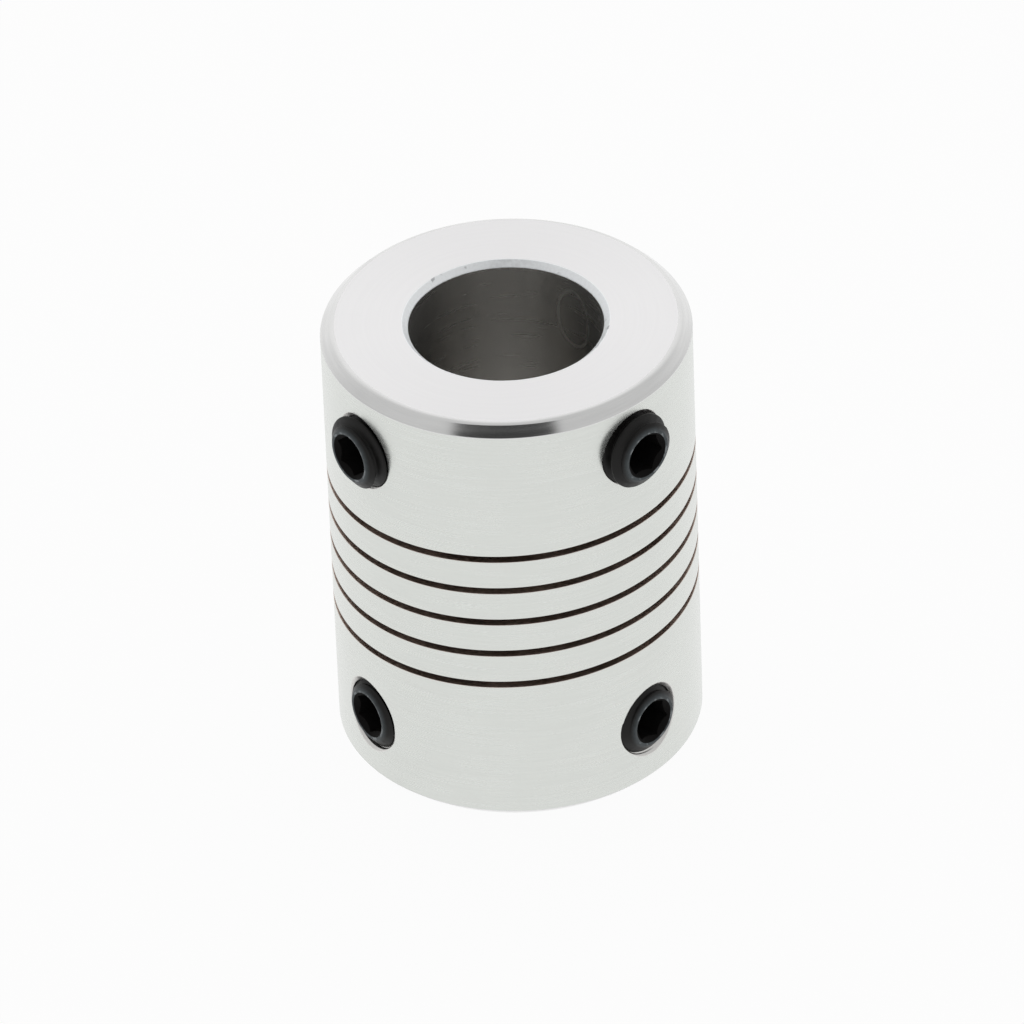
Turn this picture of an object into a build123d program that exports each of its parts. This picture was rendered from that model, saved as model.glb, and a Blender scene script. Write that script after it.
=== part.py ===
from build123d import *
from math import cos, radians, tan
import os

# One-piece helical-beam shaft coupling with four hexagon-socket set screws.
# It stands on its lower end face: the origin is the centre of that face and +Z runs up the bore.
# Angles about +Z are measured from the front, which is -Y, and grow towards +X.
# Lengths are millimetres and angles are degrees.

# Body, turned from aluminium bar
body_diameter = 19.0
body_length = 25.0
bore_diameter = 10.0
rim_chamfer = 0.57
bore_chamfer = 0.30

# Slit, one right-hand helix sawn through the wall, which leaves a spiral beam.
# It is centred on the body's length, and its walls are flat facets, which keeps the mesh light.
slit_width = 0.36
slit_pitch = 2.0
slit_turns = 4.62
slit_upper_end_angle = 50.0
slit_facets_per_turn = 24
slit_overcut = 0.3
saw_diameter = 20.0

# Set screws with cup points
screw_diameter = 4.0
screw_length = 4.0
head_chamfer_depth = 0.45
head_face_diameter = 2.8
socket_across_flats = 2.0
socket_depth = 1.8
socket_lead_in = 0.12
point_diameter = 2.4
cup_diameter = 1.9
drill_tip_angle = 120.0

# Tapped holes, one for each screw: the thread's outer diameter as deep as a screw is long,
# and the tap drill from there into the bore
thread_clearance = 0.02
tap_drill_diameter = 3.3
countersink_diameter = 4.3

# How far each screw's axis is from the nearer end face, and how far its face stands out of the wall
top_left_from_end = 3.79
top_left_proud = 0.78
top_right_from_end = 3.17
top_right_proud = 0.95
bottom_from_end = 4.07
bottom_left_proud = 0.15
bottom_right_proud = 0.20

# Place of each screw: angle, height, how far it stands out of the wall, turn of its socket
screw_places = {
    "set_screw_top_left": (-53.2, body_length - top_left_from_end, top_left_proud, 10.0),
    "set_screw_top_right": (41.2, body_length - top_right_from_end, top_right_proud, 20.0),
    "set_screw_bottom_left": (-55.7, bottom_from_end, bottom_left_proud, 0.0),
    "set_screw_bottom_right": (44.7, bottom_from_end, bottom_right_proud, 15.0),
}

front = -90.0
body_radius = body_diameter / 2
bore_radius = bore_diameter / 2
screw_radius = screw_diameter / 2
hole_radius = screw_radius + thread_clearance


def revolved(*points):
    """Solid of revolution about Z of the closed outline through (radius, height) points."""
    outline = Plane.XZ * make_face(Polyline(*points, close=True))
    return revolve(outline, axis=Axis.Z)


def drill_tip(radius):
    """Height of the cone that a drill of this radius leaves."""
    return radius / tan(radians(drill_tip_angle / 2))


def on_the_wall(angle, height, radius):
    """Location on the wall whose own Z points straight out."""
    return Rotation(0, 0, front + angle) * Pos(radius, 0, height) * Rotation(0, 90, 0)


def turned_blank():
    """Bar turned to size, bored through and chamfered at both ends."""
    return revolved(
        (bore_radius, bore_chamfer),
        (bore_radius + bore_chamfer, 0),
        (body_radius - rim_chamfer, 0),
        (body_radius, rim_chamfer),
        (body_radius, body_length - rim_chamfer),
        (body_radius - rim_chamfer, body_length),
        (bore_radius + bore_chamfer, body_length),
        (bore_radius, body_length - bore_chamfer),
    )


def helical_cut():
    """Cutters for the slit: the saw's way along the helix, with half of the round saw at each end."""
    rise = slit_pitch * slit_turns
    path = Helix(slit_pitch, rise, (body_radius + bore_radius) / 2)
    steps = round(slit_turns * slit_facets_per_turn)
    sections = [saw_section(path, step / steps) for step in range(steps + 1)]
    cutters = [
        faceted_solid(sections),
        saw_run_out(path, 0, -1),
        saw_run_out(path, 1, 1),
    ]
    start_height = (body_length - rise) / 2
    start_angle = slit_upper_end_angle - 360 * slit_turns
    placed = Pos(0, 0, start_height) * Rotation(0, 0, front + start_angle)
    return [placed * cutter for cutter in cutters]


def saw_plane(path, along):
    """Plane across the path at this share of it, with its X pointing straight out of the wall."""
    radial = Vector(1, 0, 0).rotate(Axis.Z, 360 * slit_turns * along)
    return Plane(path @ along, x_dir=radial, z_dir=path % along)


def saw_section(path, along):
    """Four corners of the saw's cut through the wall at this share of the path."""
    plane = saw_plane(path, along)
    across = (body_radius - bore_radius) / 2 + slit_overcut
    up = slit_width / 2
    corners = ((-across, -up), (across, -up), (across, up), (-across, up))
    return [plane.from_local_coords(corner) for corner in corners]


def faceted_solid(sections):
    """Solid through a row of four-cornered sections, with two triangles for each of its sides."""
    outlines = [sections[0], sections[-1]]
    for here, there in zip(sections, sections[1:]):
        for corner in range(4):
            following = (corner + 1) % 4
            outlines.append([here[corner], here[following], there[following]])
            outlines.append([here[corner], there[following], there[corner]])
    return Solid(Shell([Face(Wire.make_polygon(outline)) for outline in outlines]))


def saw_run_out(path, along, heading):
    """Half disc of the saw beyond one end of the path, where it rises out of the wall."""
    saw_radius = saw_diameter / 2
    centre = saw_radius - (body_radius - bore_radius) / 2 - slit_overcut
    plane = saw_plane(path, along)
    saw = Plane(plane.origin, x_dir=plane.x_dir, z_dir=plane.y_dir)
    beyond = Pos(centre, -heading * saw_radius) * Rectangle(4 * saw_radius, 2 * saw_radius)
    half_disc = Pos(centre, 0) * Circle(saw_radius) & beyond
    return extrude(saw * half_disc, slit_width / 2, both=True)


def tapped_hole():
    """Cutter for one tapped hole, with its own Z pointing out of the wall from the outer radius."""
    drill_radius = tap_drill_diameter / 2
    flare = countersink_diameter / 2 - hole_radius
    return revolved(
        (0, -body_radius),
        (drill_radius, -body_radius),
        (drill_radius, -screw_length),
        (hole_radius, -screw_length),
        (hole_radius, -flare),
        (hole_radius + 2 * flare, flare),
        (0, flare),
    )


def coupling_body():
    """Blank with the slit and the four tapped holes cut out of it."""
    body = turned_blank()
    for cut in helical_cut():
        body -= cut
    for angle, height, _, _ in screw_places.values():
        body -= on_the_wall(angle, height, body_radius) * tapped_hole()
    return body


def hexagon_socket():
    """Broached hexagon, with the cone of its pilot drill at the floor and a lead-in at the mouth."""
    flat_radius = socket_across_flats / 2
    mouth_radius = flat_radius / cos(radians(30)) + socket_lead_in
    hexagon = extrude(RegularPolygon(flat_radius, 6, major_radius=False), -socket_depth)
    pilot = revolved(
        (0, 0),
        (mouth_radius, 0),
        (flat_radius, flat_radius - mouth_radius),
        (flat_radius, -socket_depth),
        (0, -socket_depth - drill_tip(flat_radius)),
    )
    return hexagon + pilot


def set_screw():
    """Set screw with the face of its socket end at z = 0 and its cup point below."""
    point_radius = point_diameter / 2
    cup_radius = cup_diameter / 2
    blank = revolved(
        (0, 0),
        (head_face_diameter / 2, 0),
        (screw_radius, -head_chamfer_depth),
        (screw_radius, screw_radius - point_radius - screw_length),
        (point_radius, -screw_length),
        (cup_radius, -screw_length),
        (0, drill_tip(cup_radius) - screw_length),
    )
    return blank - hexagon_socket()


os.makedirs("parts", exist_ok=True)

export_step(coupling_body(), "parts/coupling_body.step")

for name, (angle, height, proud, turn) in screw_places.items():
    screw = on_the_wall(angle, height, body_radius + proud) * Rotation(0, 0, turn) * set_screw()
    export_step(screw, "parts/" + name + ".step")
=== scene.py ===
import math
from functools import partial
from typing import NamedTuple

import bpy
from mathutils import Matrix, Vector, geometry


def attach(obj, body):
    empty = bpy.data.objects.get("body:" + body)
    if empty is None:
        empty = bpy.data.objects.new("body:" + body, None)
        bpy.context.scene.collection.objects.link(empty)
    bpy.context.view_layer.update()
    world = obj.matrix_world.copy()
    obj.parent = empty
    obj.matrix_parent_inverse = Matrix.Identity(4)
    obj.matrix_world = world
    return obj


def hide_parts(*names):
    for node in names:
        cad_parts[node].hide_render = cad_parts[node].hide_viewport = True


# One-piece helical-beam shaft coupling, dressed around its CAD frame.
# Lengths here are millimetres, and MM turns them into metres when a mesh is made.
# Angles about +Z are measured from the front, which is -Y, and grow towards +X.
MM = 0.001

# Body. Its edges are softened over EDGE on each side, which on a 45 degree chamfer is EDGE_BEVEL each way.
BODY_R = 9.5
BODY_LENGTH = 25.0
BORE_R = 5.0
RIM_CHAMFER = 0.57
BORE_CHAMFER = 0.30
EDGE = 0.035
EDGE_BEVEL = EDGE * 0.7

# Rounding between the rim's chamfer and the end face, from the chamfer inwards:
# way out of the corner and way down, both as shares of RIM_SOFT, and how far the normal leans up
RIM_SOFT = 0.16
RIM_CURVE = (
    (0.71, 0.71, 45),
    (0.34, 0.43, 56),
    (-0.09, 0.2, 67),
    (-0.54, 0.05, 79),
    (-1.0, 0.0, 90),
)

# Rings that divide the end face, this far outside the bore
FACE_RINGS = (3.0, 1.2)

# Slit. Its angles run on from turn to turn, and past SLIT_START and SLIT_END the saw rises out of the wall.
SLIT_HALF = 0.18
SLIT_PITCH = 2.0
SLIT_TURNS = 4.62
SLIT_END = 50.0
SLIT_START = SLIT_END - 360.0 * SLIT_TURNS
SLIT_EDGE = 0.02
SLIT_OVERCUT = 0.3
SAW_R = 10.0
SAW_CENTRE = BORE_R - SLIT_OVERCUT + SAW_R
SAW_SLOPE = SLIT_PITCH / (math.pi * (BODY_R + BORE_R))

# Rows of the slit's walls, as shares of the way from the bore to the outside
SLIT_ROWS = (0.0, 0.04, 0.12, 0.3, 0.5, 0.7, 0.88, 0.96, 1.0)

# Tapped holes. FLARE is how much wider the 45 degree lead-in is at the wall.
HOLE_R = 2.02
DRILL_R = 1.65
FLARE = 0.13
THREAD_GAP = 0.09

# Rings of a hole's wall from the outside to the bore, as (how many, how far apart beside the others):
# close together where the thread shows, and furthest apart along the hidden part of the screw
HOLE_RINGS = ((50, 0.018), (11, 0.035), (11, 0.155), (26, 0.06))


class Screw(NamedTuple):
    """Place of a screw and of its hole: proud is how far it stands out of the wall."""

    name: str
    angle: float
    height: float
    proud: float
    socket_turn: float
    thread_turn: float


SCREWS = (
    Screw("set_screw_top_left", -53.2, BODY_LENGTH - 3.79, 0.78, 10.0, -110.0),
    Screw("set_screw_top_right", 41.2, BODY_LENGTH - 3.17, 0.95, 20.0, -90.0),
    Screw("set_screw_bottom_left", -55.7, 4.07, 0.15, 0.0, -65.0),
    Screw("set_screw_bottom_right", 44.7, 4.07, 0.20, 15.0, -130.0),
)

# What all four screws share
SCREW_LENGTH = 4.0
SCREW_R = 2.0
HEAD_R = 1.4
HEAD_CHAMFER = 0.45
POINT_R = 1.2
CUP_R = 0.95
SOCKET_FLAT_R = 1.0
SOCKET_LEAD_IN = 0.12
SOCKET_MOUTH_R = SOCKET_FLAT_R / math.cos(math.radians(30)) + SOCKET_LEAD_IN
SOCKET_DEPTH = 1.8

# Height of the cone that a drill leaves, over its radius
DRILL_TIP = math.tan(math.radians(30))

# How far a screw's edges are softened: at its two ends, along a face, and down a chamfer or a drilled cone.
# A cone's last ring is this wide, and this far from its tip.
END_SOFT = 0.03
FACE_SOFT = 0.02
CONE_SOFT = 0.012
TIP_R = 0.05
TIP_DEPTH = 0.03

# Rings of a screw's outside: fine steps down from its face, and coarse ones deep in the hole
FINE_STEP = 0.02
FINE_LENGTH = 1.52
COARSE_STEP = 0.035

# Thread. CREST is half of its crest's share of the pitch, and ROUNDED how far its flank is a smooth curve.
THREAD_PITCH = 0.7
THREAD_DEPTH = 0.40
CREST = 0.0625
ROUNDED = 0.35

# How far to each side of a vertex the thread's slope is measured, in millimetres and in radians
HOLE_NEARBY = 0.022
SCREW_NEARBY = 0.008

# Oval mark on the bore's wall: angle, height, half its width and half its height
WITNESS = (135.4, 22.3, 1.06, 1.7)

# Columns of the cylinder walls, in degrees and in number, and how many rows each wall has
STEP = 1.5
COLUMNS = round(360 / STEP)
WALL_ROWS = 48
BORE_ROWS = 80

# A wall's grid leaves out the points that are nearer to an outline than this share of a column
CROWDED = 0.45

# Angles this near to each other are the same, in degrees, and so are flat points, in millimetres
SAME_ANGLE = 1e-5
SAME_POINT = 1e-6


def at(radius, angle, height):
    """Point at this radius, angle from the front and height."""
    turn = math.radians(angle)
    return Vector((radius * math.sin(turn), -radius * math.cos(turn), height))


def outward(angle, up=0.0):
    """Unit normal that leans out of the wall at this angle, and up by this many degrees."""
    lean = math.radians(up)
    return at(math.cos(lean), angle, math.sin(lean))


class Skin:
    """A mesh in the making, whose vertices carry their own normals."""

    def __init__(self):
        self.points = []
        self.normals = []
        self.faces = []
        self.materials = []

    def add(self, point, normal):
        self.points.append(Vector(point))
        self.normals.append(Vector(normal).normalized())
        return len(self.points) - 1

    def face(self, corners, material):
        """One face, turned so that it looks the way its vertices' normals do."""
        corners = [c for n, c in enumerate(corners) if c != corners[n - 1]]
        if len(corners) < 3:
            return
        looks = sum((self.normals[c] for c in corners), Vector())
        if geometry.normal([self.points[c] for c in corners]).dot(looks) < 0:
            corners.reverse()
        self.faces.append(corners)
        self.materials.append(material)

    def band(self, one, other, material, closed=True):
        """Faces between two rows of as many vertices."""
        for n in range(len(one) if closed else len(one) - 1):
            m = (n + 1) % len(one)
            self.face([one[n], one[m], other[m], other[n]], material)

    def object(self, name, materials):
        """The finished mesh, as a piece of the scene."""
        mesh = bpy.data.meshes.new(name)
        mesh.from_pydata([p * MM for p in self.points], [], self.faces)
        for material in materials:
            mesh.materials.append(material)
        mesh.polygons.foreach_set("material_index", self.materials)
        mesh.polygons.foreach_set("use_smooth", [True] * len(self.faces))
        mesh.normals_split_custom_set_from_vertices(self.normals)
        mesh.update()
        thing = bpy.data.objects.new(name, mesh)
        bpy.context.scene.collection.objects.link(thing)
        return thing


# The slit: its middle line, its inner reach and its outline on a cylinder

def beyond(angle):
    """How far this unwrapped angle is past the nearer end of the saw's full depth, in degrees."""
    return max(angle - SLIT_END, SLIT_START - angle, 0.0)


def slit_height(angle, radius):
    """Height of the slit's middle at this unwrapped angle and radius."""
    rise = SLIT_PITCH / 360.0
    half = SLIT_PITCH * SLIT_TURNS / 2
    past = beyond(angle)
    run = radius * math.sin(math.radians(past)) * SAW_SLOPE
    if angle > SLIT_END:
        return BODY_LENGTH / 2 + half + run
    if angle < SLIT_START:
        return BODY_LENGTH / 2 - half - run
    return BODY_LENGTH / 2 + half + (angle - SLIT_END) * rise


def saw_reach(past):
    """Radius of the saw's edge this many degrees past the end of its full depth."""
    across = SAW_CENTRE * math.cos(math.radians(past))
    return across - math.sqrt(max(across**2 - SAW_CENTRE**2 + SAW_R**2, 0.0))


def leaves(radius):
    """Degrees past the full depth at which the saw's edge leaves a cylinder of this radius."""
    share = (radius**2 + SAW_CENTRE**2 - SAW_R**2) / (2 * radius * SAW_CENTRE)
    return math.degrees(math.acos(share))


def slit_normal(angle, radius):
    """Upward normal of the slit's lower wall."""
    held = min(max(angle, SLIT_START), SLIT_END)
    slope = SLIT_PITCH / (2 * math.pi) / radius if held == angle else SAW_SLOPE
    turn = math.radians(held)
    return Vector((-slope * math.cos(turn), -slope * math.sin(turn), 1.0))


def slit_angles(past):
    """Unwrapped angles along the slit, on the columns, out to this many degrees past its full depth."""
    low, high = SLIT_START - past, SLIT_END + past
    first = math.ceil(low / STEP)
    last = math.floor(high / STEP)
    angles = [n * STEP for n in range(first, last + 1)]
    angles += [low, high, SLIT_START, SLIT_END]
    return sorted(set(round(a, 6) for a in angles))


def slit_loop(radius, grown):
    """The slit's outline on a cylinder, grown by this much, and the angles along it.

    The lower edge comes first, forwards, and then the upper one, back.
    """
    angles = slit_angles(leaves(radius) + math.degrees(grown / radius))
    low = [(a, slit_height(a, radius) - SLIT_HALF - grown) for a in angles]
    high = [(a, slit_height(a, radius) + SLIT_HALF + grown) for a in angles]
    return low + high[::-1], angles


def in_slit(angle, height, radius, grown):
    """Whether a point of the wall lies in the slit, grown by this much."""
    past = leaves(radius) + math.degrees(grown / radius)
    turn = math.ceil((SLIT_START - past - angle) / 360.0)
    while angle + 360.0 * turn <= SLIT_END + past:
        gap = abs(height - slit_height(angle + 360.0 * turn, radius))
        if gap < SLIT_HALF + grown:
            return True
        turn += 1
    return False


# Cylinder walls, cut to their outlines in the flat

class Plan:
    """A cylinder's wall rolled out flat: its points, each kept once, and the edges that it has to have."""

    def __init__(self, radius):
        self.radius = radius
        self.points = []
        self.places = []
        self.edges = []
        self.known = {}

    def point(self, angle, height):
        """Number of the flat point at this angle and height."""
        key = (round(angle, 5), round(height, 5))
        if key not in self.known:
            self.known[key] = len(self.points)
            self.points.append(Vector((math.radians(angle) * self.radius, height)))
            self.places.append((angle, height))
        return self.known[key]

    def line(self, places):
        """Edges along an open row of places."""
        numbers = [self.point(angle, height) for angle, height in places]
        self.edges += zip(numbers, numbers[1:])


def wall(skin, radius, low, high, facing, material, loops, rows, cut_away):
    """Cylinder wall between two heights, with the loops among its edges, left out where cut_away() is true.

    Each loop is a closed row of (unwrapped angle, height). Returns the bottom ring, the top ring and the
    vertices of each loop.
    """
    known = {}

    def vertex(angle, height):
        key = (round(angle % 360.0, 5) % 360.0, round(height, 5))
        if key not in known:
            known[key] = skin.add(at(radius, angle, height), outward(angle) * facing)
        return known[key]

    # The loops, each stretch on the turn that it lies on, and their points on the seam at the back
    plan = Plan(radius)
    seam_heights = {low, high}
    for loop in loops:
        for (a0, z0), (a1, z1) in zip(loop, loop[1:] + loop[:1]):
            unwound = 360.0 * math.floor(((a0 + a1) / 2 + 180.0) / 360.0)
            start = plan.point(a0 - unwound, z0)
            end = plan.point(a1 - unwound, z1)
            plan.edges.append((start, end))
            for angle, height in ((a0, z0), (a1, z1)):
                if abs(abs(angle - unwound) - 180.0) < SAME_ANGLE:
                    seam_heights.add(round(height, 6))
    outlines = [[vertex(angle, height) for angle, height in loop] for loop in loops]

    # The grid between them, except where it would crowd a loop
    near = CROWDED * math.radians(STEP) * radius
    cells = {}
    for point in plan.points:
        cells.setdefault((round(point.x / near), round(point.y / near)), []).append(point)

    def crowded(angle, height):
        here = Vector((math.radians(angle) * radius, height))
        i, j = round(here.x / near), round(here.y / near)
        around = ((i + a, j + b) for a in (-1, 0, 1) for b in (-1, 0, 1))
        return any((here - p).length < near for c in around for p in cells.get(c, ()))

    heights = [low + (high - low) * n / rows for n in range(rows + 1)]
    for column in range(COLUMNS + 1):
        angle = -180.0 + column * STEP
        for height in heights:
            at_end = height in (low, high)
            if at_end or not (crowded(angle, height) or cut_away(angle, height)):
                plan.point(angle, height)
                if column in (0, COLUMNS):
                    seam_heights.add(round(height, 6))

    # The seam and the two ends
    for side in (-180.0, 180.0):
        plan.line([(side, height) for height in sorted(seam_heights)])
    for height in (low, high):
        plan.line([(-180.0 + n * STEP, height) for n in range(COLUMNS + 1)])

    cut = geometry.delaunay_2d_cdt(plan.points, plan.edges, [], 0, SAME_POINT, True)
    points, _, faces, origins, _, _ = cut
    for corners in faces:
        middle = sum((points[c] for c in corners), Vector((0, 0))) / len(corners)
        if not cut_away(math.degrees(middle.x / radius), middle.y):
            skin.face([vertex(*plan.places[origins[c][0]]) for c in corners], material)
    bottom, top = ([vertex(-180.0 + n * STEP, height) for n in range(COLUMNS)] for height in (low, high))
    return bottom, top, outlines


# Threads and tapped holes. SIDES is how many vertices their rings have.

SIDES = 96
TURNS = [2 * math.pi * n / SIDES for n in range(SIDES)]

# The hole's edge on a cylinder is found by so many steps, each this share of what is still missing
SEARCH_STEPS = 40
SEARCH_SHARE = 0.6

# A place further than this from a hole's axis, in degrees or in height, isn't in the hole
HOLE_FAR_ANGLE = 60
HOLE_FAR_HEIGHT = 3


def thread_radius(depth, turn, start):
    """Radius of the right-hand thread this far below the screw's face, at this turn about its axis."""
    phase = (depth / THREAD_PITCH + (turn - math.radians(start)) / (2 * math.pi)) % 1.0
    flank = THREAD_DEPTH * math.tan(math.radians(30)) / THREAD_PITCH
    share = min(max((abs(phase - 0.5) - CREST) / flank, 0.0), 1.0)
    share = share * share * (3 - 2 * share) * ROUNDED + share * (1 - ROUNDED)
    return SCREW_R - THREAD_DEPTH * share


def hole_radius(depth, turn, screw):
    """Radius of a tapped hole this far below the wall's outermost line: its thread, or its lead-in."""
    thread = thread_radius(depth + screw.proud, turn, screw.thread_turn) + THREAD_GAP
    thread = min(max(thread, DRILL_R), HOLE_R)
    return max(thread, HOLE_R + FLARE - depth)


def slopes(radius_at, depth, turn, nearby):
    """How fast a radius grows with depth and with the turn."""
    deeper = radius_at(depth + nearby, turn) - radius_at(depth - nearby, turn)
    further = radius_at(depth, turn + nearby) - radius_at(depth, turn - nearby)
    return deeper / (2 * nearby), further / (2 * nearby)


def hole_depth(reach, turn, radius):
    """How far below the wall's outermost line a cylinder of the body lies, this far from the hole's axis."""
    return BODY_R - math.sqrt(radius**2 - (reach * math.cos(turn)) ** 2)


def hole_reaches(screw, radius):
    """Distance of the hole's edge on a cylinder from its own axis, in each direction."""
    reaches = []
    for turn in TURNS:
        reach = HOLE_R
        for _ in range(SEARCH_STEPS):
            missing = hole_radius(hole_depth(reach, turn, radius), turn, screw) - reach
            reach += SEARCH_SHARE * missing
        reaches.append(reach)
    return reaches


def hole_loop(screw, radius, reaches, grown):
    """The hole's outline on a cylinder, grown by this much, as (angle, height)."""
    loop = []
    for turn, reach in zip(TURNS, reaches):
        reach += grown
        sideways = math.degrees(math.asin(reach * math.cos(turn) / radius))
        loop.append((screw.angle + sideways, screw.height + reach * math.sin(turn)))
    return loop


def in_hole(angle, height, radius, every_reach, grown):
    """Whether a point of the wall lies in one of the holes, grown by this much."""
    for screw, reaches in zip(SCREWS, every_reach):
        off = (angle - screw.angle + 180.0) % 360.0 - 180.0
        up = height - screw.height
        if abs(off) > HOLE_FAR_ANGLE or abs(up) > HOLE_FAR_HEIGHT:
            continue
        across = radius * math.sin(math.radians(off))
        place = math.atan2(up, across) / (2 * math.pi) * SIDES
        low = math.floor(place)
        share = place - low
        reach = reaches[low % SIDES] * (1 - share) + reaches[(low + 1) % SIDES] * share
        if math.hypot(across, up) < reach + grown:
            return True
    return False


def make_hole(skin, screw, outline, bore_outline, reaches, bore_reaches):
    """Threaded wall of a hole, from its outline on the body's wall to the one in the bore."""
    out = outward(screw.angle)
    side = at(1.0, screw.angle + 90.0, 0.0)
    up = Vector((0, 0, 1))

    def radius_at(depth, turn):
        return hole_radius(depth, turn, screw)

    def vertex(depth, turn):
        spoke = side * math.cos(turn) + up * math.sin(turn)
        along = up * math.cos(turn) - side * math.sin(turn)
        radius = radius_at(depth, turn)
        deeper, further = slopes(radius_at, depth, turn, HOLE_NEARBY)
        point = out * (BODY_R - depth) + spoke * radius + up * screw.height
        return skin.add(point, out * -deeper + along * (further / radius) - spoke)

    steps = [step for count, step in HOLE_RINGS for _ in range(count)]
    last = outline
    for done in range(len(steps) + 1):
        share = sum(steps[:done]) / sum(steps)
        vertices = []
        for turn, near, far in zip(TURNS, reaches, bore_reaches):
            first = hole_depth(near, turn, BODY_R) + EDGE_BEVEL
            final = hole_depth(far, turn, BORE_R) - EDGE_BEVEL
            vertices.append(vertex(first + (final - first) * share, turn))
        skin.band(last, vertices, CUT)
        last = vertices
    skin.band(last, bore_outline, CUT)


# The body, and the order of its materials

SIDE, END, RIM, BORE_RIM, BORE, CUT, SLIT = range(7)


class Cylinder(NamedTuple):
    """The body's outside or its bore: the rings at its ends, and the outlines of what is cut out of it.

    slit_angles are the angles along the slit's outline, and reaches are hole_reaches() of each hole.
    """

    bottom: list
    top: list
    slit: list
    slit_angles: list
    holes: list
    reaches: list


def make_cylinder(skin, radius, facing, chamfer, rows, material):
    """The body's outside, with facing 1, or its bore, with facing -1."""
    slit, angles = slit_loop(radius, SLIT_EDGE)
    every_reach = [hole_reaches(screw, radius) for screw in SCREWS]
    holes = [hole_loop(screw, radius, reaches, EDGE) for screw, reaches in zip(SCREWS, every_reach)]

    def cut_away(angle, height):
        in_it = in_slit(angle, height, radius, SLIT_EDGE)
        return in_it or in_hole(angle, height, radius, every_reach, EDGE)

    low = chamfer + EDGE
    high = BODY_LENGTH - low
    bottom, top, outlines = wall(skin, radius, low, high, facing, material, [slit] + holes, rows, cut_away)
    return Cylinder(bottom, top, outlines[0], angles, outlines[1:], every_reach)


def slit_inside(skin, outside, bore):
    """Walls of the slit between its outlines on the body's outside and in the bore."""
    outer = BODY_R - SLIT_EDGE
    inner = BORE_R + SLIT_EDGE
    deepest = leaves(inner)
    furthest = leaves(outer)
    stretch = furthest / (leaves(BODY_R) + math.degrees(SLIT_EDGE / BODY_R))

    def drawn_in(angle):
        """The angle inside the slit that goes with one on the outer outline."""
        if angle > SLIT_END:
            return SLIT_END + (angle - SLIT_END) * stretch
        if angle < SLIT_START:
            return SLIT_START - (SLIT_START - angle) * stretch
        return angle

    def foot(angle):
        """Radius that the slit reaches in to at this angle, which at its very ends is the outer one."""
        past = beyond(angle)
        return outer if past >= furthest - SAME_ANGLE else max(inner, saw_reach(past))

    def column(angle, sense):
        """Vertices of one wall from its foot outwards, which at the very ends are one and the same."""
        bottom = foot(angle)
        vertices = []
        for share in SLIT_ROWS[:1] if bottom == outer else SLIT_ROWS:
            radius = bottom + (outer - bottom) * share
            height = slit_height(angle, radius) + sense * SLIT_HALF
            vertices.append(skin.add(at(radius, angle, height), slit_normal(angle, radius) * -sense))
        return vertices * len(SLIT_ROWS) if bottom == outer else vertices

    angles = [drawn_in(angle) for angle in outside.slit_angles]
    walls = {}
    for sense in (-1, 1):
        walls[sense] = [column(angle, sense) for angle in angles]
        for row in range(len(SLIT_ROWS) - 1):
            one = [vertices[row] for vertices in walls[sense]]
            other = [vertices[row + 1] for vertices in walls[sense]]
            skin.band(one, other, SLIT, closed=False)
    rims = [vertices[-1] for vertices in walls[-1]] + [vertices[-1] for vertices in walls[1]][::-1]
    skin.band(outside.slit, rims, SLIT)

    # In the bore, the full depth and a little of each run-out are open
    through = [n for n, angle in enumerate(angles) if beyond(angle) <= deepest]
    columns = range(through[0] - 1, through[-1] + 2)
    count = len(bore.slit_angles)
    for sense, loop in ((-1, bore.slit[:count]), (1, bore.slit[count:][::-1])):
        edge = [(angles[n], walls[sense][n][0]) for n in columns]
        zip_rows(skin, list(zip(bore.slit_angles, loop)), edge)

    # The saw's own edge closes each run-out, and the ends of its strip meet the two outlines
    for end, last_angle in ((-1, SLIT_START), (1, SLIT_END)):
        centre = at(SAW_CENTRE, last_angle, 0)
        strip = []
        for n, angle in enumerate(angles):
            if end * (angle - last_angle) > deepest:
                facing = centre - at(foot(angle), angle, 0)
                strip.append([skin.add(skin.points[walls[sense][n][0]], facing) for sense in (-1, 1)])
        skin.band([pair[0] for pair in strip], [pair[1] for pair in strip], SLIT, closed=False)
        outermost, innermost = (strip[-1], strip[0]) if end > 0 else (strip[0], strip[-1])
        for cylinder, pair in ((outside, outermost), (bore, innermost)):
            last = len(cylinder.slit_angles) - 1
            below, above = (last, last + 1) if end > 0 else (0, -1)
            skin.face([pair[0], cylinder.slit[below], cylinder.slit[above], pair[1]], SLIT)


def zip_rows(skin, one, other):
    """Faces between two rows of (angle, vertex), which may have different angles."""
    i = j = 0
    while i < len(one) - 1 or j < len(other) - 1:
        next_one = one[i + 1][0] if i < len(one) - 1 else math.inf
        next_other = other[j + 1][0] if j < len(other) - 1 else math.inf
        if abs(next_one - next_other) < SAME_ANGLE:
            skin.face([one[i][1], one[i + 1][1], other[j + 1][1], other[j][1]], SLIT)
            i += 1
            j += 1
        elif next_one < next_other:
            skin.face([one[i][1], one[i + 1][1], other[j][1]], SLIT)
            i += 1
        else:
            skin.face([one[i][1], other[j + 1][1], other[j][1]], SLIT)
            j += 1


def body_ring(skin, radius, height, up, inwards):
    """Ring about the body's axis, whose normals point outwards or inwards and lean up by so many degrees."""
    vertices = []
    for n in range(COLUMNS):
        angle = -180.0 + n * STEP
        normal = outward(angle, up)
        if inwards:
            normal = Vector((-normal.x, -normal.y, normal.z))
        vertices.append(skin.add(at(radius, angle, height), normal))
    return vertices


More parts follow.
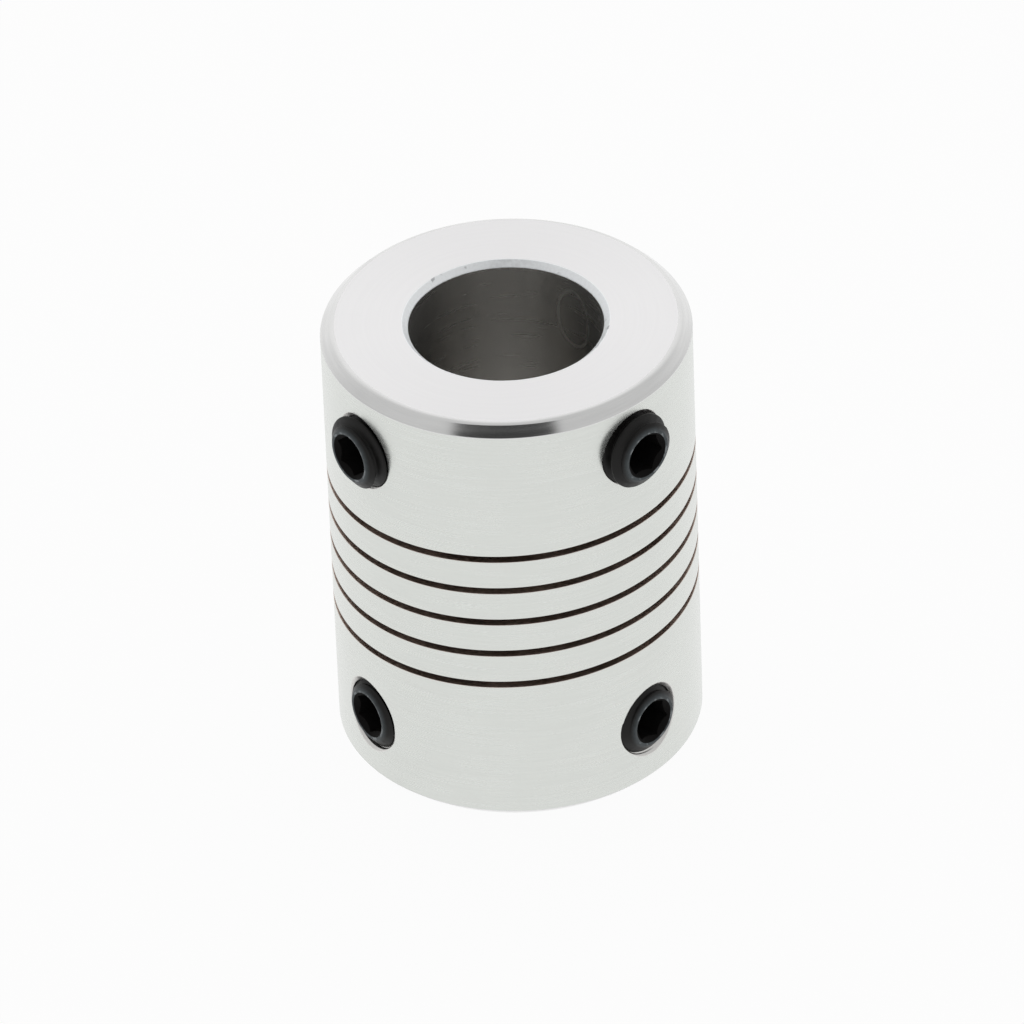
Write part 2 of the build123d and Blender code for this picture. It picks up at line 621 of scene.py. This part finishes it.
def make_end(skin, wall_ring, bore_ring, sense):
    """Chamfers and flat face of one end: sense is 1 for the top and -1 for the bottom."""
    middle = BODY_LENGTH / 2

    def place(radius, below, up, inwards=False):
        """Ring this far below the end's face, or above it at the bottom."""
        return body_ring(skin, radius, middle + sense * (middle - below), sense * up, inwards)

    profile = [
        (place(BODY_R - EDGE_BEVEL, RIM_CHAMFER - EDGE_BEVEL, 45), RIM),
        (place(BODY_R - RIM_CHAMFER / 2, RIM_CHAMFER / 2, 45), RIM),
    ]
    for out, below, up in RIM_CURVE:
        profile.append((place(BODY_R - RIM_CHAMFER + RIM_SOFT * out, RIM_SOFT * below, up), RIM))
    for out in FACE_RINGS:
        profile.append((place(BORE_R + out, 0, 90), END))
    profile += [
        (place(BORE_R + BORE_CHAMFER + EDGE, 0, 90), END),
        (place(BORE_R + BORE_CHAMFER - EDGE_BEVEL, EDGE_BEVEL, 45, True), BORE_RIM),
        (place(BORE_R + EDGE_BEVEL, BORE_CHAMFER - EDGE_BEVEL, 45, True), BORE_RIM),
        (bore_ring, BORE_RIM),
    ]
    last = wall_ring
    for vertices, material in profile:
        skin.band(last, vertices, material)
        last = vertices


def make_body(materials):
    """The body: its outside and its bore, the slit and the holes between them, and its two ends."""
    skin = Skin()
    outside = make_cylinder(skin, BODY_R, 1, RIM_CHAMFER, WALL_ROWS, SIDE)
    bore = make_cylinder(skin, BORE_R, -1, BORE_CHAMFER, BORE_ROWS, BORE)
    slit_inside(skin, outside, bore)
    for n, screw in enumerate(SCREWS):
        make_hole(skin, screw, outside.holes[n], bore.holes[n], outside.reaches[n], bore.reaches[n])
    make_end(skin, outside.bottom, bore.bottom, -1)
    make_end(skin, outside.top, bore.top, 1)
    return skin.object("coupling_body_turned", materials)


# Screws, each in its own frame, whose Z points out of the wall from the middle of the screw's face

HEAD, SOCKET = range(2)


def away(turn):
    """Unit vector straight away from the screw's axis."""
    return Vector((math.cos(turn), math.sin(turn), 0))


def leaning(up, sense=1):
    """Normals that point away from the axis, or at it with sense -1, and lean up by this many degrees."""
    across, along = sense * math.cos(math.radians(up)), math.sin(math.radians(up))
    return lambda turn: away(turn) * across + Vector((0, 0, along))


class ScrewSkin(Skin):
    """A mesh of rings about its own Z."""

    def ring(self, radius, depth, normal):
        """Ring whose radius and depth are numbers or functions of the turn, and its normal a function."""
        vertices = []
        for turn in TURNS:
            reach = radius(turn) if callable(radius) else radius
            below = depth(turn) if callable(depth) else depth
            vertices.append(self.add(away(turn) * reach - Vector((0, 0, below)), normal(turn)))
        return vertices

    def join(self, last, radius, depth, normal, material):
        """A new ring, with faces between it and the last one."""
        vertices = self.ring(radius, depth, normal)
        self.band(last, vertices, material)
        return vertices

    def close(self, last, depth, up, material):
        """Faces from the last ring to one vertex on the axis."""
        centre = self.add((0, 0, -depth), (0, 0, up))
        self.band(last, [centre] * SIDES, material)


def screw_radius(depth, turn, start):
    """Radius of the screw's outside this far below its face: its thread, between the chamfers of its ends."""
    radius = thread_radius(depth, turn, start)
    head = HEAD_R + depth * (SCREW_R - HEAD_R) / HEAD_CHAMFER
    point = POINT_R + (SCREW_LENGTH - depth)
    for limit in (head, point):
        gap = max(FACE_SOFT - abs(radius - limit), 0.0) / FACE_SOFT
        radius = min(radius, limit) - gap * gap * FACE_SOFT / 4
    return radius


def screw_outside(skin, start):
    """The threaded outside. Returns its first ring and its last."""

    def radius_at(depth, turn):
        return screw_radius(depth, turn, start)

    def normal_at(depth, turn):
        deeper, further = slopes(radius_at, depth, turn, SCREW_NEARBY)
        along = Vector((-math.sin(turn), math.cos(turn), 0))
        return away(turn) + Vector((0, 0, deeper)) - along * (further / radius_at(depth, turn))

    end = SCREW_LENGTH - END_SOFT
    coarse_start = END_SOFT + FINE_LENGTH
    depths = [END_SOFT + FINE_STEP * n for n in range(round(FINE_LENGTH / FINE_STEP))]
    depths += [coarse_start + COARSE_STEP * n for n in range(math.ceil((end - coarse_start) / COARSE_STEP))]
    depths.append(end)
    rings = [skin.ring(partial(radius_at, depth), depth, partial(normal_at, depth)) for depth in depths]
    for one, other in zip(rings, rings[1:]):
        skin.band(one, other, HEAD)
    return rings[0], rings[-1]


def screw_socket(skin, mouth, socket_turn):
    """Round lead-in, hexagon, and the cone of its pilot drill, down from the socket's mouth."""
    sixth = math.pi / 3
    first_flat = math.radians(socket_turn)

    def hexagon(turn):
        off = (turn - first_flat + sixth / 2) % sixth - sixth / 2
        return SOCKET_FLAT_R / math.cos(off)

    def flat_normal(turn):
        return -away(round((turn - first_flat) / sixth) * sixth + first_flat)

    def lead_in_radius(turn):
        return hexagon(turn) + CONE_SOFT

    def lead_in_depth(turn):
        return SOCKET_MOUTH_R - hexagon(turn) - CONE_SOFT

    def flat_depth(turn):
        return SOCKET_MOUTH_R - hexagon(turn) + FACE_SOFT

    last = skin.join(mouth, SOCKET_MOUTH_R - FACE_SOFT, FACE_SOFT, leaning(45, -1), HEAD)
    last = skin.join(last, lead_in_radius, lead_in_depth, leaning(45, -1), SOCKET)
    last = skin.join(last, hexagon, flat_depth, flat_normal, SOCKET)
    skin.join(last, hexagon, SOCKET_DEPTH, flat_normal, SOCKET)
    last = skin.ring(hexagon, SOCKET_DEPTH, leaning(90, -1))
    last = skin.join(last, SOCKET_FLAT_R - FACE_SOFT, SOCKET_DEPTH, leaning(90), SOCKET)
    last = skin.join(last, SOCKET_FLAT_R - 2 * FACE_SOFT, SOCKET_DEPTH + CONE_SOFT, leaning(60, -1), SOCKET)
    tip = SOCKET_DEPTH + SOCKET_FLAT_R * DRILL_TIP
    last = skin.join(last, TIP_R, tip - TIP_DEPTH, leaning(60, -1), SOCKET)
    skin.close(last, tip, 1, SOCKET)


def screw_point(skin, last):
    """Cup point, in from the outside's last ring."""
    last = skin.join(last, POINT_R - END_SOFT, SCREW_LENGTH, leaning(-90), HEAD)
    last = skin.join(last, CUP_R + FACE_SOFT, SCREW_LENGTH, leaning(-90), HEAD)
    last = skin.join(last, CUP_R - FACE_SOFT, SCREW_LENGTH - CONE_SOFT, leaning(-60, -1), HEAD)
    tip = SCREW_LENGTH - CUP_R * DRILL_TIP
    last = skin.join(last, TIP_R, tip + TIP_DEPTH, leaning(-60, -1), HEAD)
    skin.close(last, tip, -1, HEAD)


def make_screw(screw, materials):
    """One set screw, turned and moved into its hole."""
    skin = ScrewSkin()
    first, last = screw_outside(skin, screw.thread_turn)
    rim = skin.join(first, HEAD_R - END_SOFT, 0.0, leaning(90), HEAD)
    mouth = skin.join(rim, SOCKET_MOUTH_R + FACE_SOFT, 0.0, leaning(90), HEAD)
    screw_socket(skin, mouth, screw.socket_turn)
    screw_point(skin, last)
    thing = skin.object(screw.name + "_threaded", materials)
    side = at(1.0, screw.angle + 90.0, 0.0)
    turn = Matrix((side, Vector((0, 0, 1)), outward(screw.angle))).transposed()
    place = at(BODY_R + screw.proud, screw.angle, screw.height)
    thing.matrix_world = Matrix.Translation(place * MM) @ turn.to_4x4()
    return thing


# Materials. Their lengths are millimetres of each piece's own frame.

# How much slower a tool's marks change along its way than across it, their share of what varies the finish,
# the fineness of the patches that are the rest, and how much more the roughness varies than the colour
ALONG_MARKS = 0.03
MARKS_SHARE = 0.7
PATCHES = 0.45
GLOSS_CONTRAST = 5

# The painted highlight on a screw's face and upper chamfer fades out between these radii and heights, and its
# scuffed lip, which is this far outside the socket's mouth, between these distances and heights
HIGHLIGHT_R = (1.34, 1.62)
HIGHLIGHT_Z = (-0.42, -0.18)
LIP_OUT = 0.03
LIP_FADE = (0.02, 0.10)
LIP_Z = (-0.2, -0.05)


class Nodes:
    """Short ways to add nodes to a tree."""

    def __init__(self, tree):
        self.tree = tree

    def put(self, target, value):
        """Give a socket a number, a colour or another node's output."""
        if isinstance(value, bpy.types.NodeSocket):
            self.tree.links.new(value, target)
        else:
            target.default_value = value

    def node(self, kind, **settings):
        node = self.tree.nodes.new(kind)
        for name, value in settings.items():
            setattr(node, name, value)
        return node

    def math(self, operation, *values, clamp=False):
        node = self.node("ShaderNodeMath", operation=operation, use_clamp=clamp)
        for socket, value in zip(node.inputs, values):
            self.put(socket, value)
        return node.outputs["Value"]

    def times(self, one, other):
        return self.math("MULTIPLY", one, other)

    def plus(self, one, other):
        return self.math("ADD", one, other)

    def minus(self, one, other):
        return self.math("SUBTRACT", one, other)

    def ramp(self, value, start, end, low=0.0, high=1.0):
        """Smooth step of value from start to end."""
        node = self.node("ShaderNodeMapRange", interpolation_type="SMOOTHSTEP")
        names = ("Value", "From Min", "From Max", "To Min", "To Max")
        for name, given in zip(names, (value, start, end, low, high)):
            self.put(node.inputs[name], given)
        return node.outputs["Result"]

    def mix(self, share, one, other):
        node = self.node("ShaderNodeMix", data_type="RGBA")
        self.put(node.inputs["Factor"], share)
        self.put(node.inputs["A"], one)
        self.put(node.inputs["B"], other)
        return node.outputs["Result"]

    def place(self):
        """Place on the piece, in millimetres of its own frame."""
        source = self.node("ShaderNodeTexCoord").outputs["Object"]
        scale = self.node("ShaderNodeVectorMath", operation="SCALE")
        self.put(scale.inputs["Vector"], source)
        self.put(scale.inputs["Scale"], 1 / MM)
        return scale.outputs["Vector"]

    def apart(self, vector):
        node = self.node("ShaderNodeSeparateXYZ")
        self.put(node.inputs["Vector"], vector)
        return node.outputs["X"], node.outputs["Y"], node.outputs["Z"]

    def together(self, x, y, z):
        node = self.node("ShaderNodeCombineXYZ")
        for socket, value in zip(node.inputs, (x, y, z)):
            self.put(socket, value)
        return node.outputs["Vector"]

    def radius(self, x, y):
        return self.math("SQRT", self.plus(self.times(x, x), self.times(y, y)))

    def noise(self, vector, scale, detail):
        node = self.node("ShaderNodeTexNoise")
        self.put(node.inputs["Vector"], vector)
        self.put(node.inputs["Scale"], scale)
        self.put(node.inputs["Detail"], detail)
        return node.outputs["Fac"]

    def relief(self, height, depth):
        """Normal bumped by height, which is depth millimetres deep."""
        node = self.node("ShaderNodeBump")
        self.put(node.inputs["Distance"], depth * MM)
        self.put(node.inputs["Height"], height)
        return node.outputs["Normal"]


def new_material(name):
    material = bpy.data.materials.new(name)
    material.use_nodes = True
    return material, Nodes(material.node_tree), material.node_tree.nodes["Principled BSDF"].inputs


def solid(colour, share=1.0):
    """Colour for a socket, at this share of its brightness."""
    return (colour[0] * share, colour[1] * share, colour[2] * share, 1.0)


def tool_marks(nodes, place, pattern, fineness):
    """Noise drawn out along the tool's way: round the axis on walls and on end faces."""
    x, y, z = nodes.apart(place)
    if pattern == "wall":
        place = nodes.together(nodes.times(x, ALONG_MARKS), nodes.times(y, ALONG_MARKS), z)
    if pattern == "face":
        place = nodes.together(nodes.radius(x, y), nodes.times(x, ALONG_MARKS), nodes.times(y, ALONG_MARKS))
    return nodes.noise(place, fineness, detail=4.0)


def aluminium(name, colour, roughness, stretch, marks, contrast, metallic=1.0, detail=None):
    """Machined aluminium.

    stretch spreads its gloss across the tool marks, and marks gives their pattern, fineness and depth.
    contrast is how far the colour varies, and detail is a function that adds to colour and roughness.
    """
    material, nodes, shader = new_material(name)
    pattern, fineness, depth = marks
    place = nodes.place()
    grooves = tool_marks(nodes, place, pattern, fineness)
    patches = nodes.noise(place, PATCHES, detail=2.0)
    both = nodes.plus(nodes.times(grooves, MARKS_SHARE), nodes.times(patches, 1 - MARKS_SHARE))
    tint = nodes.mix(nodes.ramp(both, 0.35, 0.65), solid(colour, 1 - contrast), solid(colour, 1 + contrast))
    spread = GLOSS_CONTRAST * contrast
    gloss = nodes.ramp(both, 0.3, 0.7, roughness * (1 - spread), roughness * (1 + spread))
    if detail:
        tint, gloss = detail(nodes, place, tint, gloss)
    nodes.put(shader["Base Color"], tint)
    nodes.put(shader["Roughness"], gloss)
    nodes.put(shader["Metallic"], metallic)
    nodes.put(shader["Anisotropic"], stretch)
    if stretch:
        nodes.put(shader["Anisotropic Rotation"], 0.25)
        tangent = nodes.node("ShaderNodeTangent", direction_type="RADIAL", axis="Z")
        nodes.put(shader["Tangent"], tangent.outputs["Tangent"])
    nodes.put(shader["Normal"], nodes.relief(grooves, depth))
    return material


def witness(nodes, place, tint, gloss):
    """Faint line of an oval on the bore's wall, paler and duller, where a drill only just touched it."""
    line_width, paleness, dullness = 0.08, 0.2, 0.06
    angle, height, half_width, half_height = WITNESS
    x, y, z = nodes.apart(place)
    side = at(1.0, angle + 90.0, 0.0)
    out = outward(angle)
    across = nodes.plus(nodes.times(x, side.x), nodes.times(y, side.y))
    front = nodes.plus(nodes.times(x, out.x), nodes.times(y, out.y))
    across = nodes.math("DIVIDE", across, half_width)
    up = nodes.math("DIVIDE", nodes.minus(z, height), half_height)
    off = nodes.math("ABSOLUTE", nodes.minus(nodes.radius(across, up), 1.0))
    this_side = nodes.ramp(front, 0.0, 0.5)
    line = nodes.times(nodes.ramp(off, 0.0, line_width, 1.0, 0.0), this_side)
    tint = nodes.mix(nodes.times(line, paleness), tint, solid((0.98, 0.98, 0.98)))
    return tint, nodes.plus(gloss, nodes.times(line, dullness))


def specks(nodes, place, tint, gloss):
    """A few dark specks and nicks along a deburred edge."""
    fineness, start, end, darkness = 1.3, 0.64, 0.72, 0.55
    spots = nodes.ramp(nodes.noise(place, fineness, detail=4.0), start, end)
    return nodes.mix(nodes.times(spots, darkness), tint, solid((0.25, 0.25, 0.26))), gloss


def painted_highlight_and_scuffs(nodes, place, grain, tint, ring):
    """Painted highlight in the ring's colour on the face and upper chamfer of a screw's head, with bare
    scuffs on the socket's lip.
    """
    scuff_fineness, scuff_start, scuff_end = 2.2, 0.52, 0.62
    x, y, z = nodes.apart(place)
    radius = nodes.radius(x, y)
    # Painted highlight: the face and upper chamfer are lightened to the ring's colour for the light they
    # catch, patchy with the grain
    face = nodes.ramp(radius, *HIGHLIGHT_R, 1.0, 0.0)
    face = nodes.times(face, nodes.ramp(z, *HIGHLIGHT_Z))
    unevenness = nodes.ramp(grain, 0.2, 0.7, 0.6, 1.0)
    tint = nodes.mix(nodes.times(face, unevenness), tint, solid(ring))
    scuffs = nodes.ramp(nodes.noise(place, scuff_fineness, detail=4.0), scuff_start, scuff_end)
    off_lip = nodes.math("ABSOLUTE", nodes.minus(radius, SOCKET_MOUTH_R + LIP_OUT))
    lip = nodes.ramp(off_lip, *LIP_FADE, 1.0, 0.0)
    lip = nodes.times(lip, nodes.ramp(z, *LIP_Z))
    return nodes.mix(nodes.times(lip, scuffs), tint, solid((0.24, 0.26, 0.27)))


def black_steel(name, dark, roughness, gloss, ring=None):
    """Blackened steel: dark all over, with a painted highlight round the socket where ring gives its colour.
    """
    fineness, contrast, spread, depth = 3.0, 0.4, 0.08, 0.006
    material, nodes, shader = new_material(name)
    place = nodes.place()
    grain = nodes.noise(place, fineness, detail=5.0)
    tint = nodes.mix(grain, solid(dark, 1 - contrast), solid(dark, 1 + contrast))
    if ring:
        tint = painted_highlight_and_scuffs(nodes, place, grain, tint, ring)
    nodes.put(shader["Base Color"], tint)
    nodes.put(shader["Roughness"], nodes.ramp(grain, 0.25, 0.75, roughness - spread, roughness + spread))
    nodes.put(shader["IOR"], 1.5)
    nodes.put(shader["Specular IOR Level"], gloss)
    nodes.put(shader["Normal"], nodes.relief(grain, depth))
    return material


def body_materials():
    """The body's materials, in the order of SIDE, END, RIM, BORE_RIM, BORE, CUT and SLIT."""
    return [
        # The side's base colour is set below the end face's: painted shade on the side. Its marks and gloss
        # are its own turned finish
        aluminium(
            "aluminium_turned", (0.757, 0.777, 0.745), roughness=0.26, stretch=0.3,
            marks=("wall", 7.0, 0.0004), contrast=0.022, metallic=0.82,
        ),
        aluminium(
            "aluminium_faced", (0.815, 0.808, 0.812), roughness=0.36, stretch=0.4,
            marks=("face", 6.0, 0.0006), contrast=0.010,
        ),
        aluminium(
            "aluminium_rim", (0.735, 0.735, 0.73), roughness=0.15, stretch=0.3,
            marks=("wall", 6.0, 0.0015), contrast=0.04,
        ),
        # The bore's chamfer is near white, brighter than the other aluminium: painted light on the chamfer
        aluminium(
            "aluminium_deburred", (0.94, 0.96, 0.97), roughness=0.56, stretch=0.0,
            marks=("plain", 6.0, 0.002), contrast=0.04, detail=specks,
        ),
        # The bore's base colour is far below the outside's: painted shade inside the bore
        aluminium(
            "aluminium_bored", (0.535, 0.527, 0.507), roughness=0.27, stretch=0.68,
            marks=("wall", 6.0, 0.00001), contrast=0.004, metallic=0.93, detail=witness,
        ),
        aluminium(
            "aluminium_tapped", (0.74, 0.73, 0.71), roughness=0.36, stretch=0.0,
            marks=("plain", 8.0, 0.002), contrast=0.04,
        ),
        # The slit's walls are darker and browner than the other aluminium: painted shade that deepens the
        # narrow slit
        aluminium(
            "aluminium_sawn", (0.68, 0.585, 0.53), roughness=0.40, stretch=0.0,
            marks=("plain", 8.0, 0.002), contrast=0.06,
        ),
    ]


def screw_materials():
    """The screws' materials, in the order of HEAD and SOCKET."""
    return [
        # ring is the colour of the painted highlight on each head's face and upper chamfer
        black_steel("black_steel", (0.009, 0.0085, 0.008), 0.42, 0.2, ring=(0.075, 0.088, 0.094)),
        # The socket's copy of the black steel is darker and less glossy: painted shade in the socket
        black_steel("black_steel_socket", (0.0065, 0.006, 0.0058), 0.6, 0.07),
    ]


# Camera, floor and light

def make_camera():
    """Camera at the photograph's angle: the distance, focal length and roll were fitted to its outlines.

    The view's centre has half a pixel added, because the fit counts from the middle of the first pixel.
    """
    distance = 539.932
    elevation = math.radians(36.783)
    roll = math.radians(-2.269)
    frame_pixels = 1024.0
    focal_pixels = 10455.464
    centre_pixels = (513.136 + 0.5, 515.184 + 0.5)
    camera = bpy.data.cameras.new("camera")
    camera.sensor_fit = "HORIZONTAL"
    camera.sensor_width = 36.0
    camera.lens = focal_pixels * camera.sensor_width / frame_pixels
    camera.shift_x = -(centre_pixels[0] - frame_pixels / 2) / frame_pixels
    camera.shift_y = (centre_pixels[1] - frame_pixels / 2) / frame_pixels
    camera.clip_start = 0.01
    camera.clip_end = 20.0
    thing = bpy.data.objects.new("camera", camera)
    bpy.context.scene.collection.objects.link(thing)
    ahead = Vector((0, math.cos(elevation), -math.sin(elevation)))
    across = Vector((1, 0, 0))
    up = Vector((0, math.sin(elevation), math.cos(elevation)))
    right = across * math.cos(roll) + up * math.sin(roll)
    top = -across * math.sin(roll) + up * math.cos(roll)
    turn = Matrix((right, top, -ahead)).transposed()
    target = Vector((0, 0, BODY_LENGTH / 2))
    place = (target - ahead * distance) * MM
    thing.matrix_world = Matrix.Translation(place) @ turn.to_4x4()
    bpy.context.scene.camera = thing


def make_floor():
    """Pale sheet, nearly white to the camera and in reflections, that keeps a soft shadow of the object."""
    half_metres = 3.0
    sheet_grey = 0.86
    whiteness = 0.94
    mesh = bpy.data.meshes.new("floor")
    corners = [(x * half_metres, y * half_metres, 0) for x, y in ((-1, -1), (1, -1), (1, 1), (-1, 1))]
    mesh.from_pydata(corners, [], [(0, 1, 2, 3)])
    floor = bpy.data.objects.new("floor", mesh)
    bpy.context.scene.collection.objects.link(floor)
    material = bpy.data.materials.new("floor")
    material.use_nodes = True
    tree = material.node_tree
    tree.nodes.remove(tree.nodes["Principled BSDF"])
    nodes = Nodes(tree)
    sheet = nodes.node("ShaderNodeBsdfDiffuse")
    nodes.put(sheet.inputs["Color"], solid((sheet_grey, sheet_grey, sheet_grey)))
    white = nodes.node("ShaderNodeEmission")
    path = nodes.node("ShaderNodeLightPath").outputs
    seen = nodes.plus(path["Is Camera Ray"], path["Is Glossy Ray"])
    seen = nodes.math("ADD", seen, path["Is Transmission Ray"], clamp=True)
    blend = nodes.node("ShaderNodeMixShader")
    nodes.put(blend.inputs["Fac"], nodes.times(seen, whiteness))
    nodes.put(blend.inputs[1], sheet.outputs["BSDF"])
    nodes.put(blend.inputs[2], white.outputs["Emission"])
    nodes.put(tree.nodes["Material Output"].inputs["Surface"], blend.outputs["Shader"])
    mesh.materials.append(material)


def make_world():
    """Soft white surroundings, brighter behind the object, with one dark patch above its front.

    The light grows from the front to the back over brightening, which is measured along y and tilted up.
    The patch is an oval, with its azimuth and elevation in degrees and its half-sizes as sines of angles.
    """
    front_strength, back_strength = 0.70, 1.03
    tilt, brightening = 0.35, (0.30, 1.05)
    azimuth, elevation = -3.6, 52.0
    half_width, half_height = 0.42, 0.24
    patch_fade, darkness = (0.85, 1.1), 0.92
    world = bpy.data.worlds.new("studio")
    world.use_nodes = True
    bpy.context.scene.world = world
    nodes = Nodes(world.node_tree)
    direction = nodes.node("ShaderNodeTexCoord").outputs["Generated"]
    _, y, z = nodes.apart(direction)
    behind = nodes.plus(y, nodes.times(z, tilt))
    light = nodes.ramp(behind, *brightening, front_strength, back_strength)

    middle = outward(azimuth, elevation)
    side = at(1.0, azimuth + 90.0, 0.0)
    over = side.cross(middle)

    def along(axis):
        """How far the direction points along this axis."""
        dot = nodes.node("ShaderNodeVectorMath", operation="DOT_PRODUCT")
        nodes.put(dot.inputs[0], direction)
        nodes.put(dot.inputs[1], axis)
        return dot.outputs["Value"]

    width = nodes.math("DIVIDE", along(side), half_width)
    height = nodes.math("DIVIDE", along(over), half_height)
    dark = nodes.ramp(nodes.radius(width, height), *patch_fade, 1.0, 0.0)
    this_side = nodes.ramp(along(middle), 0.0, 0.2)
    dark = nodes.times(dark, this_side)
    strength = nodes.times(light, nodes.minus(1.0, nodes.times(dark, darkness)))
    background = world.node_tree.nodes["Background"]
    nodes.put(background.inputs["Color"], solid((1.0, 1.0, 1.0)))
    nodes.put(background.inputs["Strength"], strength)


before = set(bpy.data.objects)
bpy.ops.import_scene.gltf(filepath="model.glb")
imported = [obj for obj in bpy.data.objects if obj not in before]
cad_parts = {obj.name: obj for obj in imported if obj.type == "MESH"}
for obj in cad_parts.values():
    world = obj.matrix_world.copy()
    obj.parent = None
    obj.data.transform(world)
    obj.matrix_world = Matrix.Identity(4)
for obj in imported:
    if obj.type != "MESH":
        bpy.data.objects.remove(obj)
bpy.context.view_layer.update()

body = make_body(body_materials())
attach(body, "root")
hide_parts("coupling_body")

black = screw_materials()
for screw in SCREWS:
    thing = make_screw(screw, black)
    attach(thing, "root")
    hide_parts(screw.name)

make_floor()
make_world()
make_camera()
bpy.context.scene.view_settings.view_transform = "Standard"
